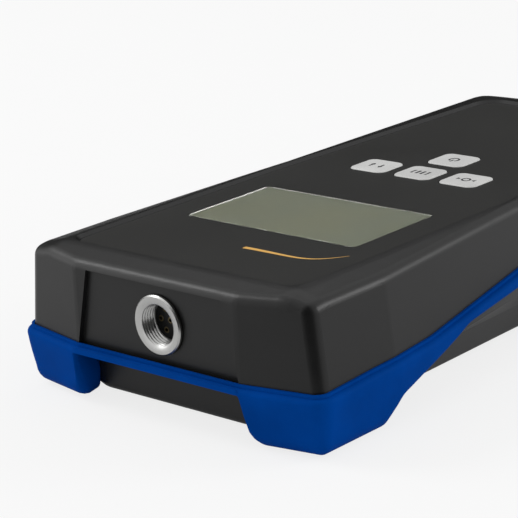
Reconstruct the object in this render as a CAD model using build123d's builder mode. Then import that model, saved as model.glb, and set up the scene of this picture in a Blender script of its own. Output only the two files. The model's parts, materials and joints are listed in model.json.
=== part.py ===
from build123d import *

import os

# A handheld gauss meter that lies on its back: socket end towards -Y, keys upwards.
# The origin is on the surface it lies on, below the middle of its outline.

# Overall size, over the soft bumper
length = 165.0
width = 85.0
height = 32.5

# Case walls
wall = 2.4
roof_wall = 2.3
side_draft = 0.11
end_draft = 0.02
fit = 0.05
gap = 0.15

# Plan of the case at its widest line
flare_z = 13.5
bumper_side = 1.6
bumper_end = 1.5
waist_step = 4.5
tail_step = 5.2
front_sweep = 18.4
corner_sweep = 3.4
far_sweep = 17.7
head_length = 26.0
grip_start = -1.0
corner_radius = 3.0
far_radius = 8.0
shoulder_bend = 8.0
waist_bend = 40.0
end_bend = 6.0

# Crown of the top: a flat crest that falls away at the sides and the ends
crest_half = 32.6
crest_end_inset = 7.0
side_fall = 0.235
end_fall = 0.2
crease_radius = 12.0
top_fillet = 2.4

# Lower tub: floor, knee and shoulder, measured inwards from the widest line
floor_z = 1.2
floor_inset = 10.9
floor_waist = 3.5
tub_end_inset = 6.2
knee_z = 8.6
knee_inset = 6.9
knee_waist = 3.0
shoulder_z = 11.4
shoulder_waist = 2.8
tub_top_z = 16.5
shoulder_lift = 1.3
floor_fillet = 1.6

# Bumper: top edge along the side, its underside and the feet
band_end_z = 13.6
band_shoulder_y = 42.0
band_shoulder_z = 14.8
band_peak_y = 4.0
band_peak_z = 19.3
band_bend = 40.0
bumper_wide_z = 12.0
bumper_top_z = 22.0
bumper_top_side = 0.5
bumper_top_end = 1.0
foot_side_inset = 1.9
foot_end_inset = 2.1
foot_length = 22.4
foot_rise = 5.4
foot_rise_z = 5.2
arch_y = 29.5
arch_z = 13.9
arch_peak_z = 16.2
foot_width = 10.1
end_arch_sweep = 5.2
end_arch_lean = 2.4
end_arch_knee_z = 3.6
end_arch_z = 12.2
foot_fillet = 2.2
shoulder_fillet = 1.2
lip_height = 0.7
lip_thick = 0.5
foot_bend = 6.0
arch_bend = 14.0
arch_sill = 0.5
end_arch_bend = 1.5
bumper_corner = 4.2
seam_drop = 1.2
tongue = 1.0
tongue_depth = 1.2

# Overlay in its recess
overlay_half = 31.0
overlay_tail_half = 27.4
overlay_front_inset = 9.0
overlay_bend_y = -8.0
overlay_back_inset = 10.0
overlay_thick = 0.5
overlay_z = 31.8
overlay_radius = 3.0
overlay_tail_radius = 4.5
rim_bevel = 0.9

# Display
window_x = 47.1
window_y = 26.7
window_centre_y = -32.0
window_ledge = 1.0
window_radius = 1.0
glass_thick = 2.0
lcd_border = 2.4
lcd_rib_wall = 1.2
lcd_rib_height = 1.4
strip_width = 2.2

# Keys
key_x = 10.0
key_y = 9.4
key_radius = 2.0
key_proud = 0.2
key_fillet = 0.4
key_pitch = 12.8
key_row_y = 7.1
power_y = 19.7
key_flange = 0.8
flange_thick = 1.0
plunger_radius = 2.0
key_travel = 0.4
key_play = 0.1

# Main board
board_top = 24.6
board_thick = 1.6
board_half = 29.0
board_front_inset = 17.0
board_back = 46.0
switch_size = 6.0
switch_height = 1.6
stem_radius = 1.7
stem_length = 1.1
stem_proud = 0.5
chip_height = 1.5
lead_thick = 0.25
lead_width = 0.35
lead_reach = 1.1
processor_place = (0.0, -35.0)
processor_size = 12.0
amplifier_x = 14.0
amplifier_inset = 11.0
amplifier_long = 5.0
amplifier_short = 4.0
capacitor_radius = 2.5
capacitor_height = 6.0
can_chamfer = 0.4
capacitor_places = [(-20.0, -34.0), (-20.0, -26.0), (20.0, -38.0), (20.0, -46.0)]
crystal_place = (-2.0, -20.0)
crystal_long = 11.0
crystal_short = 4.6
crystal_height = 3.5
buzzer_place = (15.0, -12.0)
buzzer_radius = 6.0
buzzer_height = 6.5
buzzer_hole = 1.0

# Fasteners
board_screw_radius = 1.1
board_screw_x = 26.0
board_screw_front_inset = 3.0
board_screw_back_inset = 4.0
board_screw_head = 1.6
board_screw_length = 5.0
case_screw_radius = 1.5
case_screw_head = 2.5
case_screw_seat = 6.0
case_screw_head_thick = 2.0
case_screw_length = 16.0
case_screw_slot = 0.8
front_screw_x = 20.5
front_screw_inset = 11.5
tail_screw_x = 17.5
tail_screw_inset = 11.2
boss_wall = 2.0
post_top = 14.0

# Socket in the end panel
panel_depth = 1.2
panel_lean = 3.6
panel_top_z = 29.7
socket_x = 0.9
socket_z = 21.3
flange_radius = 6.35
flange_depth = 0.8
thread_radius = 4.4
thread_depth = 4.0
socket_body_radius = 5.4
socket_length = 9.8
gasket_radius = 5.95
gasket_thick = 0.3
insert_radius = 4.1
insert_lip = 0.8
pad_half = 9.0
nut_flats = 14.0
nut_thick = 2.0
contact_count = 6
contact_circle = 2.6
contact_radius = 0.65
contact_hole = 0.4
contact_tail = 0.3
socket_board_gap = 0.8
socket_board_thick = 1.2
socket_board_half = 8.0
socket_board_low = 14.0
link_pin = 0.6
link_pitch = 2.0
link_count = 7
link_z = 16.0
link_inset = 1.5
link_bend = 1.0
flange_chamfer = 0.3

# Battery bay
cell_radius = 7.25
cell_length = 50.5
cell_pitch = 14.8
cell_nub_radius = 2.75
cell_nub = 1.2
bay_end_inset = 16.5
bow_height = 4.5
bay_wall = 1.5
bay_play = 0.35
contact_sheet = 0.4
contact_half = 4.5
contact_play = 0.15
bow_half = 1.5
tab_width = 3.0
return_y = 36.0
door_thick = 1.8
door_lap = 1.2
door_frame = 2.0
door_reach = 2.7
door_clear = 0.2
door_tongue = 1.0
door_tongue_thick = 1.0
grip_groove = 0.5
grip_count = 5

# Sizes that follow from the ones above
head_half = width / 2 - bumper_side
grip_half = head_half - waist_step
tail_half = head_half - tail_step
end_half = length / 2 - bumper_end
panel_half = head_half - front_sweep
far_flat = tail_half - far_sweep
head_end = head_length - end_half
crest_end = end_half - crest_end_inset
foot_y = end_half - foot_length
foot_rise_y = foot_y - foot_rise
end_arch_foot = head_half - foot_width
end_arch_knee = end_arch_foot - end_arch_sweep
end_arch_half = end_arch_knee - end_arch_lean
overlay_front = overlay_front_inset - end_half
overlay_back = end_half - overlay_back_inset
reach = length
overlay_floor = overlay_z - overlay_thick
roof_z = overlay_floor - roof_wall
board_low = board_top - board_thick
frame_top = roof_z - gap
stem_top = board_top + switch_height + stem_proud
board_front = board_front_inset - end_half
board_screw_front = board_front + board_screw_front_inset
amplifier_y = board_front + amplifier_inset
board_screw_back = board_back - board_screw_back_inset
board_screw_tip = board_low + board_screw_length
case_screw_tip = case_screw_seat + case_screw_length
front_screw_y = front_screw_inset - end_half
tail_screw_y = end_half - tail_screw_inset
panel_y = panel_depth - end_half
panel_top_half = panel_half - panel_lean
pad_y = panel_y + wall
socket_back = panel_y + socket_length
link_y = board_front + link_inset
bay_back = end_half - bay_end_inset
nub_back = bay_back - contact_sheet - contact_play
bow_line = nub_back - cell_length - bow_height - contact_sheet
bay_front = bow_line - contact_play - 1.5 * contact_sheet
nub_front = bay_front + contact_sheet + contact_play
door_front = bay_front - door_reach


def plan(level, side=0.0, end=0.0, waist=0.0, corner=corner_radius):
    """Outline of the case at one height: straight head, waist, long tail, swept corners."""
    half = [
        (panel_half, -end_half - end),
        (head_half + side, -end_half - end + corner_sweep),
        (head_half + side, head_end),
        (grip_half + side + waist, grip_start),
        (tail_half + side + waist, end_half + end - corner_sweep),
        (far_flat, end_half + end),
    ]
    radii = [end_bend, corner, shoulder_bend, waist_bend, far_radius, end_bend]
    loop = half + [(-x, y) for x, y in reversed(half)]
    with BuildSketch(Plane.XY.offset(level)) as outline:
        with BuildLine():
            FilletPolyline(*loop, radius=radii + radii[::-1], close=True)
        make_face()
    return outline.sketch


def upper_plan(level, inset=0.0):
    """Outline of the upper shell's drafted wall, or of its inside."""
    rise = level - flare_z
    return plan(
        level,
        side=-side_draft * rise - inset,
        end=-end_draft * rise - inset,
        corner=corner_radius - inset if inset < corner_radius - 0.5 else 0.5,
    )


def tower(*outlines):
    """Solid with straight walls from one outline to the next."""
    with BuildPart() as form:
        for outline in outlines:
            add(outline)
        loft(ruled=True)
    return form.part


def tub(inset=0.0, floor=0.0, lift=0.0):
    """Solid form of the lower shell, or of its inside, set in and lifted."""
    rise = tub_top_z - flare_z
    return tower(
        plan(floor_z + floor, -floor_inset - inset, -tub_end_inset - inset, floor_waist),
        plan(knee_z + lift, -knee_inset - inset, -tub_end_inset - inset, knee_waist),
        plan(shoulder_z + lift, -inset, -inset, -shoulder_waist),
        plan(tub_top_z + lift, -side_draft * rise - inset, -end_draft * rise - inset),
        upper_plan(height + lift, inset),
    )


def below_band(drop=0.0):
    """Side view of all that is lower than the bumper's top edge, less a drop."""
    with BuildSketch(Plane.YZ) as region:
        with BuildLine():
            FilletPolyline(
                (-reach, band_end_z - drop),
                (-band_shoulder_y, band_shoulder_z - drop),
                (-band_peak_y, band_peak_z - drop),
                (band_peak_y, band_peak_z - drop),
                (band_shoulder_y, band_shoulder_z - drop),
                (reach, band_end_z - drop),
                (reach, -height),
                (-reach, -height),
                radius=[0, band_bend, band_bend, band_bend, band_bend, 0, 0, 0],
                close=True,
            )
        make_face()
    return region.sketch


def overlay_plan(level, grow=0.0):
    """Outline of the overlay, or of its recess, at one height."""
    half = [
        (overlay_half + grow, overlay_front - grow),
        (overlay_half + grow, overlay_bend_y),
        (overlay_tail_half + grow, overlay_back + grow),
    ]
    radii = [overlay_radius + grow, waist_bend, overlay_tail_radius + grow]
    loop = half + [(-x, y) for x, y in reversed(half)]
    with BuildSketch(Plane.XY.offset(level)) as outline:
        with BuildLine():
            FilletPolyline(*loop, radius=radii + radii[::-1], close=True)
        make_face()
    return outline.sketch


def block(x, y, z, mode=Mode.ADD):
    """Box between two values of each coordinate, in the part being built."""
    with Locations((sum(x) / 2, sum(y) / 2, sum(z) / 2)):
        Box(x[1] - x[0], y[1] - y[0], z[1] - z[0], mode=mode)


def rod(x, z, radius, near, far, mode=Mode.ADD):
    """Round bar or hole along Y between two distances."""
    with Locations(Location((x, (near + far) / 2, z), (90, 0, 0))):
        Cylinder(radius, far - near, mode=mode)


def post(places, radius, low, high, mode=Mode.ADD):
    """Round posts or holes at some places, between two heights."""
    with Locations(*[(x, y, (low + high) / 2) for x, y in places]):
        Cylinder(radius, high - low, mode=mode)


def finish(builder, name):
    """Name a finished piece and write it."""
    builder.part.label = name
    export_step(builder.part, f"parts/{name}.step")


def corners(x, y_low, y_high):
    """Four places, left and right at two distances."""
    return [(x, y_low), (-x, y_low), (x, y_high), (-x, y_high)]


os.makedirs("parts", exist_ok=True)

board_screw_places = corners(board_screw_x, board_screw_front, board_screw_back)
front_screw_places = [(front_screw_x, front_screw_y), (-front_screw_x, front_screw_y)]
tail_screw_places = [(tail_screw_x, tail_screw_y), (-tail_screw_x, tail_screw_y)]
case_screw_places = front_screw_places + tail_screw_places
keys = {
    "range": (-key_pitch, key_row_y),
    "hold": (0.0, key_row_y),
    "zero": (key_pitch, key_row_y),
    "power": (0.0, power_y),
}
door_top = floor_z + door_thick
cell_z = door_top + bay_play + cell_radius
bay_half = cell_pitch + cell_radius + bay_play / 2
bay_ceiling = cell_z + cell_radius + bay_play
bay_top = bay_ceiling + bay_wall
door_half = bay_half + door_lap
lcd_half_x = window_x / 2 + lcd_border
lcd_half_y = window_y / 2 + lcd_border
lcd_low = window_centre_y - lcd_half_y
lcd_high = window_centre_y + lcd_half_y
case_boss_radius = case_screw_radius + boss_wall
board_boss_radius = board_screw_radius + boss_wall

# Crown: the crest profile carried along the fall of the two ends
with BuildPart() as crown:
    with BuildLine(Plane.YZ) as ridge:
        FilletPolyline(
            (-reach, -end_fall * (reach - crest_end)),
            (-crest_end, 0),
            (crest_end, 0),
            (reach, -end_fall * (reach - crest_end)),
            radius=crease_radius,
        )
    start = ridge.line @ 0
    with BuildSketch(Plane(start, x_dir=(1, 0, 0), z_dir=(0, -1, 0))) as crest:
        with BuildLine():
            edge_z = height - side_fall * (width - crest_half)
            FilletPolyline(
                (-width, edge_z),
                (-crest_half, height),
                (crest_half, height),
                (width, edge_z),
                radius=crease_radius,
            )
            Polyline((width, edge_z), (width, -height), (-width, -height), (-width, edge_z))
        make_face()
    sweep(path=ridge.line, normal=Vector(0, 1, 0))

# Upper half as a solid, with its rounded top edge
with BuildPart() as upper_block:
    add(tower(upper_plan(knee_z), upper_plan(height + wall)))
    add(crown.part, mode=Mode.INTERSECT)
    top_edges = [
        edge
        for face in upper_block.faces()
        if abs(face.normal_at().Z) < 0.3
        for edge in face.edges()
        if edge.bounding_box().min.Z > height - 2 * wall
    ]
    fillet(top_edges, top_fillet)
    extrude(below_band(seam_drop), amount=width, both=True, mode=Mode.SUBTRACT)

# Groove round the seam that holds the bumper's tongue
with BuildPart() as seam_groove:
    extrude(below_band(seam_drop), amount=width, both=True)
    extrude(below_band(seam_drop + tongue), amount=width, both=True, mode=Mode.SUBTRACT)
    core = tower(upper_plan(knee_z, tongue_depth), upper_plan(height, tongue_depth))
    add(core, mode=Mode.SUBTRACT)

# Lower half as a solid
with BuildPart() as lower_block:
    add(tub())
    fillet(lower_block.faces().sort_by(Axis.Z)[0].edges(), floor_fillet)
    extrude(below_band(seam_drop), amount=width, both=True, mode=Mode.INTERSECT)
    add(seam_groove.part, mode=Mode.SUBTRACT)


# Thin lip of the bumper that stands against the wall of the upper shell
with BuildPart() as bumper_lip:
    add(tower(upper_plan(knee_z, -lip_thick), upper_plan(height, -lip_thick)))
    extrude(below_band(), amount=width, both=True, mode=Mode.INTERSECT)

# Bumper: a soft ring with four corner feet, moulded to both halves of the case
with BuildPart() as bumper:
    add(
        tower(
            plan(0.0, -foot_side_inset, -foot_end_inset, corner=bumper_corner),
            plan(bumper_wide_z, bumper_side, bumper_end, corner=bumper_corner),
            plan(bumper_top_z, bumper_top_side, bumper_top_end, corner=bumper_corner),
        )
    )
    extrude(below_band(lip_height), amount=width, both=True, mode=Mode.INTERSECT)
    shoulder_edges = [
        edge
        for face in bumper.faces()
        if abs(face.normal_at().Z) < 0.3
        for edge in face.edges()
        if edge.bounding_box().min.Z > bumper_wide_z + fit
    ]
    fillet(shoulder_edges, shoulder_fillet)
    add(bumper_lip.part)
    with BuildSketch(Plane.YZ) as side_arch:
        with BuildLine():
            rise = [
                (-foot_y, -arch_sill),
                (-foot_rise_y, foot_rise_z),
                (-arch_y, arch_z),
                (-band_peak_y, arch_peak_z),
            ]
            bends = [0, foot_bend, arch_bend, band_bend]
            sill = [(foot_y, -height), (-foot_y, -height)]
            loop = rise + [(-y, z) for y, z in reversed(rise)] + sill
            FilletPolyline(*loop, radius=bends + bends[::-1] + [0, 0], close=True)
        make_face()
    extrude(amount=width, both=True, mode=Mode.SUBTRACT)
    with BuildSketch(Plane.XZ) as end_arch:
        with BuildLine():
            side = [
                (end_arch_foot, -arch_sill),
                (end_arch_knee, end_arch_knee_z),
                (end_arch_half, end_arch_z),
            ]
            bends = [0, foot_bend, end_arch_bend]
            loop = side + [(-x, z) for x, z in reversed(side)]
            FilletPolyline(*loop, radius=bends + bends[::-1], close=True)
        make_face()
    extrude(amount=length, both=True, mode=Mode.SUBTRACT)
    add(upper_block.part, mode=Mode.SUBTRACT)
    add(lower_block.part, mode=Mode.SUBTRACT)
    sole_edges = [edge for edge in bumper.edges() if edge.bounding_box().max.Z < fit]
    fillet(sole_edges, foot_fillet)
finish(bumper, "bumper")

# Upper shell
with BuildPart() as upper_shell:
    add(upper_block.part)
    inside = tower(upper_plan(knee_z, wall), upper_plan(roof_z, wall))
    add(inside, mode=Mode.SUBTRACT)
    block((socket_x - pad_half, socket_x + pad_half), (panel_y + fit, pad_y), (post_top, roof_z + fit))
    post(case_screw_places, case_boss_radius, post_top, roof_z + fit)
    post(board_screw_places, board_boss_radius, board_top, roof_z + fit)
    with BuildSketch(Plane.XY.offset(roof_z - lcd_rib_height)) as lcd_rib:
        with Locations((0, window_centre_y)):
            Rectangle(2 * (lcd_half_x + gap + lcd_rib_wall), 2 * (lcd_half_y + gap + lcd_rib_wall))
            Rectangle(2 * (lcd_half_x + gap), 2 * (lcd_half_y + gap), mode=Mode.SUBTRACT)
    extrude(amount=lcd_rib_height + fit)
    extrude(overlay_plan(overlay_floor, gap), amount=wall, mode=Mode.SUBTRACT)
    bevel_top = 2 * height - overlay_z
    bevel = tower(overlay_plan(overlay_z, gap), overlay_plan(bevel_top, gap + 2 * rim_bevel))
    add(bevel, mode=Mode.SUBTRACT)
    with BuildSketch(Plane.XY.offset(roof_z - wall)) as openings:
        with Locations((0, window_centre_y)):
            Rectangle(window_x + 2 * window_ledge, window_y + 2 * window_ledge)
        with Locations(*keys.values()):
            RectangleRounded(key_x + 2 * gap, key_y + 2 * gap, key_radius + gap)
    extrude(amount=2 * wall + roof_wall, mode=Mode.SUBTRACT)
    with BuildSketch(Plane.XZ.offset(length)) as panel:
        with BuildLine():
            Polyline(
                (-panel_half, knee_z),
                (-panel_half, flare_z),
                (-panel_top_half, panel_top_z),
                (panel_top_half, panel_top_z),
                (panel_half, flare_z),
                (panel_half, knee_z),
                close=True,
            )
        make_face()
    extrude(amount=-length - panel_y, mode=Mode.SUBTRACT)
    rod(socket_x, socket_z, socket_body_radius + fit, -length, pad_y + wall, mode=Mode.SUBTRACT)
    post(case_screw_places, case_screw_radius + fit, knee_z, case_screw_tip + fit, mode=Mode.SUBTRACT)
    post(board_screw_places, board_screw_radius + fit, board_low, board_screw_tip + fit, mode=Mode.SUBTRACT)
finish(upper_shell, "upper_shell")

# Thick floor round the door, within the outside of the lower half
with BuildPart() as door_surround:
    block(
        (-door_half - door_frame, door_half + door_frame),
        (door_front - door_frame, end_half),
        (floor_z, door_top + bay_wall),
    )
    add(lower_block.part, mode=Mode.INTERSECT)

# Lower shell with the battery bay and the posts
with BuildPart() as lower_shell:
    add(lower_block.part)
    add(tub(wall, wall, shoulder_lift), mode=Mode.SUBTRACT)
    add(door_surround.part)
    block(
        (-bay_half - bay_wall, bay_half + bay_wall),
        (bay_front - bay_wall, bay_back + bay_wall),
        (door_top, bay_top),
    )
    post(case_screw_places, case_boss_radius, floor_z + floor_fillet, post_top)
    block((-bay_half, bay_half), (bay_front, bay_back), (0, bay_ceiling), mode=Mode.SUBTRACT)
    block(
        (-door_half - door_clear, door_half + door_clear),
        (door_front - door_clear, length),
        (0, door_top + door_clear),
        mode=Mode.SUBTRACT,
    )
    block(
        (-door_half - door_tongue - door_clear, door_half + door_tongue + door_clear),
        (door_front - door_clear, length),
        (door_top - door_tongue_thick - door_clear, door_top + door_clear),
        mode=Mode.SUBTRACT,
    )
    post(case_screw_places, case_screw_head + gap, 0, case_screw_seat, mode=Mode.SUBTRACT)
    post(case_screw_places, case_screw_radius + fit, floor_z, post_top + wall, mode=Mode.SUBTRACT)
    for x, near in ((-cell_pitch, bay_front), (cell_pitch, bay_back - contact_sheet)):
        block(
            (x - tab_width / 2 - gap, x + tab_width / 2 + gap),
            (near - fit, near + contact_sheet + fit),
            (bay_ceiling - fit, bay_top + fit),
            mode=Mode.SUBTRACT,
        )
finish(lower_shell, "lower_shell")

# Overlay film and the pane over the display
with BuildPart() as front_overlay:
    extrude(overlay_plan(overlay_floor), amount=overlay_thick)
    with BuildSketch(Plane.XY.offset(overlay_floor)) as overlay_openings:
        with Locations((0, window_centre_y)):
            RectangleRounded(window_x + 2 * fit, window_y + 2 * fit, window_radius + fit)
        with Locations(*keys.values()):
            RectangleRounded(key_x + 2 * gap, key_y + 2 * gap, key_radius + gap)
    extrude(amount=overlay_thick, mode=Mode.SUBTRACT)
finish(front_overlay, "front_overlay")

with BuildPart() as display_window:
    with BuildSketch(Plane.XY.offset(overlay_floor)):
        with Locations((0, window_centre_y)):
            RectangleRounded(window_x, window_y, window_radius)
    extrude(amount=overlay_thick)
finish(display_window, "display_window")

# Keys, each with the stem of its switch below it
key_top = overlay_z + key_proud
flange_top = roof_z - key_play
for name, (x, y) in keys.items():
    with BuildPart() as key:
        with BuildSketch(Plane.XY.offset(flange_top - flange_thick)):
            with Locations((x, y)):
                RectangleRounded(key_x + 2 * key_flange, key_y + 2 * key_flange, key_radius)
        extrude(amount=flange_thick)
        with BuildSketch(Plane.XY.offset(flange_top)):
            with Locations((x, y)):
                RectangleRounded(key_x, key_y, key_radius)
        extrude(amount=key_top - flange_top)
        fillet(key.faces().sort_by(Axis.Z)[-1].edges(), key_fillet)
        post([(x, y)], plunger_radius, stem_top + fit, flange_top - flange_thick)
    finish(key, f"key_{name}")
    with BuildPart() as stem:
        post([(x, y)], stem_radius, stem_top - stem_length, stem_top)
    finish(stem, f"{name}_stem")

with BuildPart() as key_switches:
    for x, y in keys.values():
        block(
            (x - switch_size / 2, x + switch_size / 2),
            (y - switch_size / 2, y + switch_size / 2),
            (board_top, board_top + switch_height),
        )
    well = stem_top - stem_length - key_travel - key_play
    post(keys.values(), stem_radius + key_play, well, stem_top, mode=Mode.SUBTRACT)
finish(key_switches, "key_switches")

# Main board and what sits on it
link_places = [((i - (link_count - 1) / 2) * link_pitch, link_y) for i in range(link_count)]
with BuildPart() as main_board:
    block((-board_half, board_half), (board_front, board_back), (board_low, board_top))
    fillet(main_board.edges().filter_by(Axis.Z), board_screw_radius)
    post(board_screw_places, board_screw_radius + gap, board_low, board_top, mode=Mode.SUBTRACT)
    post(link_places, link_pin * 0.75, board_low, board_top, mode=Mode.SUBTRACT)
    for x, near in ((-cell_pitch, bay_front), (cell_pitch, return_y)):
        block(
            (x - tab_width / 2 - gap, x + tab_width / 2 + gap),
            (near - gap, near + contact_sheet + gap),
            (board_low, board_top),
            mode=Mode.SUBTRACT,
        )
finish(main_board, "main_board")

with BuildPart() as board_screws:
    post(board_screw_places, board_screw_radius, board_low, board_screw_tip)
    post(board_screw_places, 2 * board_screw_radius, board_low - board_screw_head, board_low)
finish(board_screws, "board_screws")

with BuildPart() as case_screws:
    post(case_screw_places, case_screw_radius, case_screw_seat, case_screw_tip)
    post(case_screw_places, case_screw_head, case_screw_seat - case_screw_head_thick, case_screw_seat)
    slot_low = case_screw_seat - case_screw_head_thick
    for angle in (0, 90):
        with Locations(*[Location((x, y, slot_low), (0, 0, angle)) for x, y in case_screw_places]):
            Box(case_screw_head, case_screw_slot, case_screw_head_thick, mode=Mode.SUBTRACT)
finish(case_screws, "case_screws")

glass_grow = window_ledge - gap
glass_low = overlay_floor - glass_thick
with BuildPart() as lcd_glass:
    with BuildSketch(Plane.XY.offset(glass_low)):
        with Locations((0, window_centre_y)):
            Rectangle(window_x + 2 * glass_grow, window_y + 2 * glass_grow)
    extrude(amount=glass_thick)
finish(lcd_glass, "lcd_glass")

strip_y = window_y / 2 + glass_grow - strip_width / 2 - gap
with BuildPart() as lcd_contact_strips:
    with BuildSketch(Plane.XY.offset(board_top)):
        with Locations((0, window_centre_y - strip_y), (0, window_centre_y + strip_y)):
            Rectangle(window_x, strip_width)
    extrude(amount=glass_low - board_top)
finish(lcd_contact_strips, "lcd_contact_strips")

with BuildPart() as lcd_backlight:
    with BuildSketch(Plane.XY.offset(board_top)):
        with Locations((0, window_centre_y)):
            Rectangle(window_x, 2 * (strip_y - strip_width / 2 - gap))
    extrude(amount=glass_low - board_top)
finish(lcd_backlight, "lcd_backlight")

with BuildPart() as lcd_frame:
    with BuildSketch(Plane.XY.offset(board_top)):
        with Locations((0, window_centre_y)):
            Rectangle(2 * lcd_half_x, 2 * lcd_half_y)
            Rectangle(window_x + 2 * window_ledge, window_y + 2 * window_ledge, mode=Mode.SUBTRACT)
    extrude(amount=frame_top - board_top)
finish(lcd_frame, "lcd_frame")


def chip(x, y, body_x, body_y, rows, lead_reach):
    """Flat chip under the board with leads out of two or four sides."""
    block(
        (x - body_x / 2, x + body_x / 2),
        (y - body_y / 2, y + body_y / 2),
        (board_low - chip_height, board_low - lead_thick / 2),
    )
    for count, along_x in rows:
        for i in range(count):
            shift = (i - (count - 1) / 2) * (body_x if along_x else body_y) / (count + 1)
            if along_x:
                lead_x = (x + shift - lead_width / 2, x + shift + lead_width / 2)
                lead_y = (y - body_y / 2 - lead_reach, y + body_y / 2 + lead_reach)
            else:
                lead_x = (x - body_x / 2 - lead_reach, x + body_x / 2 + lead_reach)
                lead_y = (y + shift - lead_width / 2, y + shift + lead_width / 2)
            block(lead_x, lead_y, (board_low - lead_thick, board_low))


with BuildPart() as processor:
    chip(*processor_place, processor_size, processor_size, [(10, True), (10, False)], lead_reach)
finish(processor, "processor")

with BuildPart() as amplifier_chips:
    for side in (-1, 1):
        chip(side * amplifier_x, amplifier_y, amplifier_long, amplifier_short, [(4, True)], lead_reach)
finish(amplifier_chips, "amplifier_chips")

with BuildPart() as board_capacitors:
    post(capacitor_places, capacitor_radius, board_low - capacitor_height, board_low)
    chamfer(board_capacitors.faces().group_by(Axis.Z)[0].edges(), can_chamfer)
finish(board_capacitors, "board_capacitors")

with BuildPart() as crystal:
    with BuildSketch(Plane.XY.offset(board_low - crystal_height)):
        with Locations(crystal_place):
            SlotOverall(crystal_long, crystal_short)
    extrude(amount=crystal_height)
finish(crystal, "crystal")

with BuildPart() as buzzer:
    post([buzzer_place], buzzer_radius, board_low - buzzer_height, board_low)
    chamfer(buzzer.faces().sort_by(Axis.Z)[0].edges(), can_chamfer)
    post([buzzer_place], buzzer_hole, board_low - buzzer_height, board_low - flange_thick, mode=Mode.SUBTRACT)
finish(buzzer, "buzzer")

# Socket, its seal, nut, insert and contacts
flange_back = panel_y - gasket_thick
flange_front = flange_back - flange_depth
insert_front = flange_front + thread_depth
insert_back = socket_back - insert_lip
with BuildPart() as probe_socket:
    rod(socket_x, socket_z, flange_radius, flange_front, flange_back)
    rod(socket_x, socket_z, socket_body_radius, flange_back, socket_back)
    rod(socket_x, socket_z, thread_radius, flange_front, insert_front, mode=Mode.SUBTRACT)
    rod(socket_x, socket_z, insert_radius + fit, insert_front, insert_back, mode=Mode.SUBTRACT)
    rod(socket_x, socket_z, contact_circle + 2 * contact_radius, insert_back, socket_back, mode=Mode.SUBTRACT)
    front_edges = probe_socket.faces().sort_by(Axis.Y)[0].edges()
    chamfer(front_edges, flange_chamfer)
finish(probe_socket, "probe_socket")

with BuildPart() as socket_gasket:
    rod(socket_x, socket_z, gasket_radius, flange_back, panel_y)
    rod(socket_x, socket_z, socket_body_radius + fit, flange_back, panel_y, mode=Mode.SUBTRACT)
finish(socket_gasket, "socket_gasket")

with BuildPart() as socket_nut:
    with BuildSketch(Plane.XZ.offset(-pad_y)):
        with Locations((socket_x, socket_z)):
            RegularPolygon(nut_flats / 2, 6, major_radius=False)
            Circle(socket_body_radius + fit, mode=Mode.SUBTRACT)
    extrude(amount=-nut_thick)
finish(socket_nut, "socket_nut")

contact_places = [(socket_x, socket_z)]
with PolarLocations(contact_circle, contact_count) as ring:
    for place in ring.locations:
        contact_places.append((socket_x + place.position.X, socket_z + place.position.Y))

with BuildPart() as socket_insert:
    rod(socket_x, socket_z, insert_radius, insert_front, insert_back)
    for x, z in contact_places:
        rod(x, z, contact_radius + fit, insert_front, insert_back, mode=Mode.SUBTRACT)
finish(socket_insert, "socket_insert")

socket_board_front = socket_back + socket_board_gap
socket_board_back = socket_board_front + socket_board_thick
with BuildPart() as socket_contacts:
    for x, z in contact_places:
        rod(x, z, contact_radius, insert_front, socket_back)
        rod(x, z, contact_tail, socket_back, socket_board_back + socket_board_gap)
        rod(x, z, contact_hole, insert_front, insert_front + thread_depth, mode=Mode.SUBTRACT)
finish(socket_contacts, "socket_contacts")

with BuildPart() as socket_board:
    block(
        (socket_x - socket_board_half, socket_x + socket_board_half),
        (socket_board_front, socket_board_back),
        (socket_board_low, roof_z - flange_thick),
    )
    for x, z in contact_places:
        rod(x, z, contact_tail + fit, socket_board_front, socket_board_back, mode=Mode.SUBTRACT)
    for x, _ in link_places:
        rod(x, link_z, link_pin * 0.75, socket_board_front, socket_board_back, mode=Mode.SUBTRACT)
finish(socket_board, "socket_board")

with BuildPart() as board_link_pins:
    for x, y in link_places:
        with BuildLine(Plane.YZ.offset(x)) as bent_pin:
            FilletPolyline(
                (socket_board_front - socket_board_gap / 2, link_z),
                (y, link_z),
                (y, board_top + socket_board_gap),
                radius=link_bend,
            )
        with BuildSketch(Plane(bent_pin.line @ 0, x_dir=(1, 0, 0), z_dir=(0, 1, 0))):
            Rectangle(link_pin, link_pin)
        sweep(path=bent_pin.line)
finish(board_link_pins, "board_link_pins")

# Cells: three in series, side by side, turned about in turn
for i, forward in enumerate((True, False, True)):
    x = (i - 1) * cell_pitch
    near = nub_front if forward else nub_back - cell_length
    body = (near + cell_nub, near + cell_length) if forward else (near, near + cell_length - cell_nub)
    with BuildPart() as cell:
        rod(x, cell_z, cell_radius, *body)
        chamfer(cell.edges().filter_by(GeomType.CIRCLE), can_chamfer)
        rod(x, cell_z, cell_nub_radius, near, near + cell_length)
    finish(cell, f"battery_cell_{i + 1}")


def contact_sheet_bar(nodes, y, inward):
    """Bent sheet along X at the bay's end wall, bowed towards the cells that it presses."""
    points = [(nodes[0][0] - contact_half, y)]
    for x, bowed in nodes:
        if bowed:
            tip = y + inward * bow_height
            points += [(x - 2 * bow_half, y), (x - bow_half, tip), (x + bow_half, tip), (x + 2 * bow_half, y)]
    points.append((nodes[-1][0] + contact_half, y))
    with BuildSketch(Plane.XY.offset(cell_z - contact_half)) as bar:
        with BuildLine() as run:
            Polyline(*points)
        trace(run.line, contact_sheet)
    extrude(bar.sketch, amount=2 * contact_half)


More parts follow.
